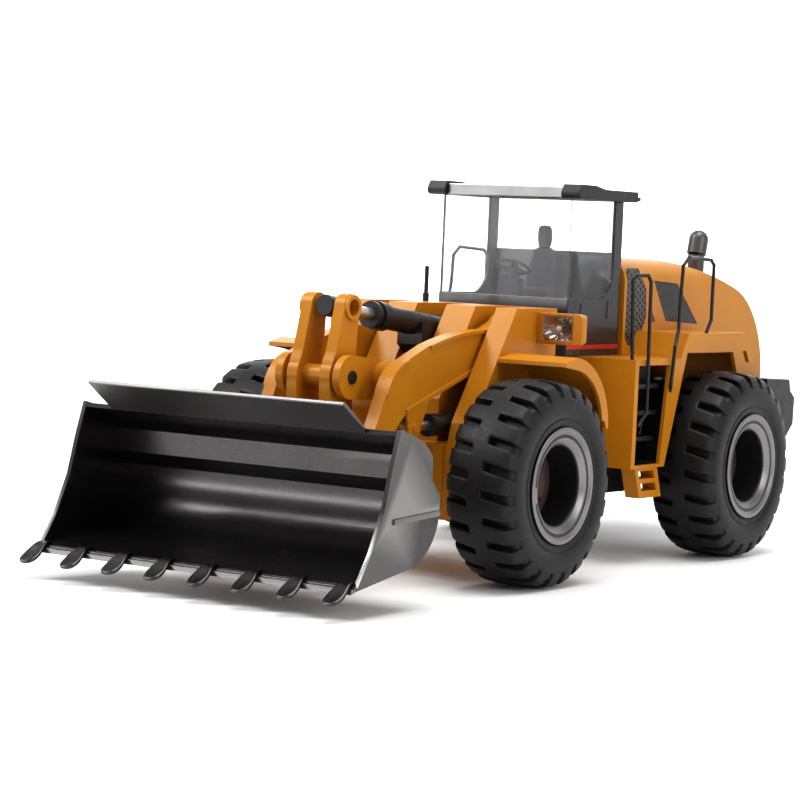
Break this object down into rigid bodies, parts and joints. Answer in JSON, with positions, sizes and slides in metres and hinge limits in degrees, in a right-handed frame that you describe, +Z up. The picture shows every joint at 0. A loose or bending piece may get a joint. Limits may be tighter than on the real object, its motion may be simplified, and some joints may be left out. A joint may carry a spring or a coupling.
{
  "type": "toy front loader",
  "caption": "Articulated toy front loader in yellow and black with a toothed graphite bucket, tilt linkage, closed cab and large treaded tyres.",
  "frame": {"origin": "centre of the footprint's bounding box on the ground", "axes": "+Z up, the bucket points to -Y, the machine's left side is +X"},
  "size_m": [0.2208, 0.57, 0.2255],
  "materials": {
    "yellow_plastic": "satin",
    "black_plastic": "matte",
    "graphite_plastic": "metallic satin paint",
    "silver_plastic": "satin silver paint",
    "tyre_rubber": "matte",
    "clear_plastic": "clear",
    "dark_grey_plastic": "gloss",
    "seat_plastic": "matte",
    "pin_steel": "brushed",
    "lens_plastic": "gloss",
    "hub_plastic": "satin",
    "blue_wrap": "gloss",
    "board_green": "matte",
    "motor_metal": "satin",
    "red_plastic": "gloss"
  },
  "bodies": {
    "rear_frame": {"rear_chassis": "black_plastic", "rear_deck": "yellow_plastic", "rear_fender_left": "yellow_plastic", "rear_fender_right": "yellow_plastic", "ladders": "black_plastic", "lower_steps": "yellow_plastic", "engine_hood": "yellow_plastic", "hood_grilles": "black_plastic", "exhaust_pipe": "dark_grey_plastic", "counterweight": "black_plastic", "rear_lamps": "lens_plastic", "handrails": "black_plastic", "cab_body": "dark_grey_plastic", "cab_windows": "clear_plastic", "cab_roof": "black_plastic", "roof_panel": "silver_plastic", "seat": "seat_plastic", "steering_console": "seat_plastic", "steering_wheel": "black_plastic", "battery": "blue_wrap", "battery_cover": "black_plastic", "circuit_board": "board_green", "drive_motor": "motor_metal", "rear_axle_housing": "black_plastic", "pivot_pin": "pin_steel"},
    "switch_slider": {"power_switch": "red_plastic"},
    "front_frame": {"front_chassis": "yellow_plastic", "front_fender_left": "yellow_plastic", "front_fender_right": "yellow_plastic", "headlight_housings": "yellow_plastic", "headlight_lenses": "lens_plastic", "antenna": "black_plastic", "front_axle_housing": "black_plastic", "tower_pins": "pin_steel"},
    "lift_arm": {"lift_arm_left": "yellow_plastic", "lift_arm_right": "yellow_plastic", "cross_tube": "yellow_plastic", "lever_pin": "black_plastic"},
    "bell_levers": {"levers": "yellow_plastic"},
    "link": {"tilt_link": "yellow_plastic"},
    "tilt_cylinder": {"tilt_barrel": "black_plastic"},
    "tilt_cylinder_rod": {"tilt_rod": "silver_plastic"},
    "lift_cylinders": {"lift_barrels": "black_plastic"},
    "lift_cylinder_rods": {"lift_rods": "silver_plastic"},
    "bucket": {"bucket_shell": "graphite_plastic", "spill_guard": "graphite_plastic", "toothed_edge": "graphite_plastic", "bucket_pins": "pin_steel"},
    "wheel_front_left": {"tyre_front_left": "tyre_rubber", "rim_front_left": "silver_plastic", "hub_front_left": "hub_plastic"},
    "wheel_front_right": {"tyre_front_right": "tyre_rubber", "rim_front_right": "silver_plastic", "hub_front_right": "hub_plastic"},
    "wheel_rear_left": {"tyre_rear_left": "tyre_rubber", "rim_rear_left": "silver_plastic", "hub_rear_left": "hub_plastic"},
    "wheel_rear_right": {"tyre_rear_right": "tyre_rubber", "rim_rear_right": "silver_plastic", "hub_rear_right": "hub_plastic"}
  },
  "joints": [
    {"name": "centre_steer", "type": "hinge", "parent": "rear_frame", "child": "front_frame", "pos_m": [0, 0.0335, 0.068], "axis": [0, 0, 1], "range_deg": [-30, 30]},
    {"name": "lift", "type": "hinge", "parent": "front_frame", "child": "lift_arm", "pos_m": [0, -0.036, 0.137], "axis": [-1, 0, 0], "range_deg": [-1.5, 55]},
    {"name": "bucket_tilt", "type": "hinge", "parent": "lift_arm", "child": "bucket", "pos_m": [0, -0.187, 0.038], "axis": [-1, 0, 0], "range_deg": [-40, 35]},
    {"name": "lever_swing", "type": "hinge", "parent": "lift_arm", "child": "bell_levers", "pos_m": [0, -0.161, 0.113], "axis": [-1, 0, 0], "range_deg": [-11.3, 12.9]},
    {"name": "link_swing", "type": "hinge", "parent": "bell_levers", "child": "link", "pos_m": [0, -0.159, 0.058], "axis": [-1, 0, 0], "range_deg": [-15.5, 13.6]},
    {"name": "tilt_cylinder_swing", "type": "hinge", "parent": "front_frame", "child": "tilt_cylinder", "pos_m": [0, -0.036, 0.137], "axis": [-1, 0, 0], "range_deg": [-1.6, 55.1]},
    {"name": "tilt_rod_slide", "type": "slide", "parent": "tilt_cylinder", "child": "tilt_cylinder_rod", "axis": [0, -0.9935, 0.1141], "range_m": [-0.0086, 0.0075]},
    {"name": "lift_cylinder_swing", "type": "hinge", "parent": "front_frame", "child": "lift_cylinders", "pos_m": [0, -0.043, 0.088], "axis": [-1, 0, 0], "range_deg": [-1.5, 49]},
    {"name": "lift_rod_slide", "type": "slide", "parent": "lift_cylinders", "child": "lift_cylinder_rods", "axis": [0, -0.9997, -0.0235], "range_m": [-0.0014, 0.0445]},
    {"name": "switch_slide", "type": "slide", "parent": "rear_frame", "child": "switch_slider", "axis": [0, 1, 0], "range_m": [0, 0.005]},
    {"name": "wheel_spin_front_left", "type": "hinge", "parent": "front_frame", "child": "wheel_front_left", "pos_m": [0.088, -0.081, 0.0575], "axis": [1, 0, 0], "continuous": true},
    {"name": "wheel_spin_front_right", "type": "hinge", "parent": "front_frame", "child": "wheel_front_right", "pos_m": [-0.088, -0.081, 0.0575], "axis": [1, 0, 0], "continuous": true},
    {"name": "wheel_spin_rear_left", "type": "hinge", "parent": "rear_frame", "child": "wheel_rear_left", "pos_m": [0.088, 0.148, 0.0575], "axis": [1, 0, 0], "continuous": true},
    {"name": "wheel_spin_rear_right", "type": "hinge", "parent": "rear_frame", "child": "wheel_rear_right", "pos_m": [-0.088, 0.148, 0.0575], "axis": [1, 0, 0], "continuous": true}
  ],
  "couplings": [
    {"joint": "lever_swing", "follows": "bucket_tilt", "ratio": -0.318},
    {"joint": "link_swing", "follows": "bucket_tilt", "ratio": 0.383},
    {"joint": "tilt_cylinder_swing", "follows": "lift", "ratio": 1},
    {"joint": "tilt_rod_slide", "follows": "bucket_tilt", "m_per_rad": 0.01203},
    {"joint": "lift_cylinder_swing", "follows": "lift", "ratio": 0.886},
    {"joint": "lift_rod_slide", "follows": "lift", "m_per_rad": 0.046}
  ]
}
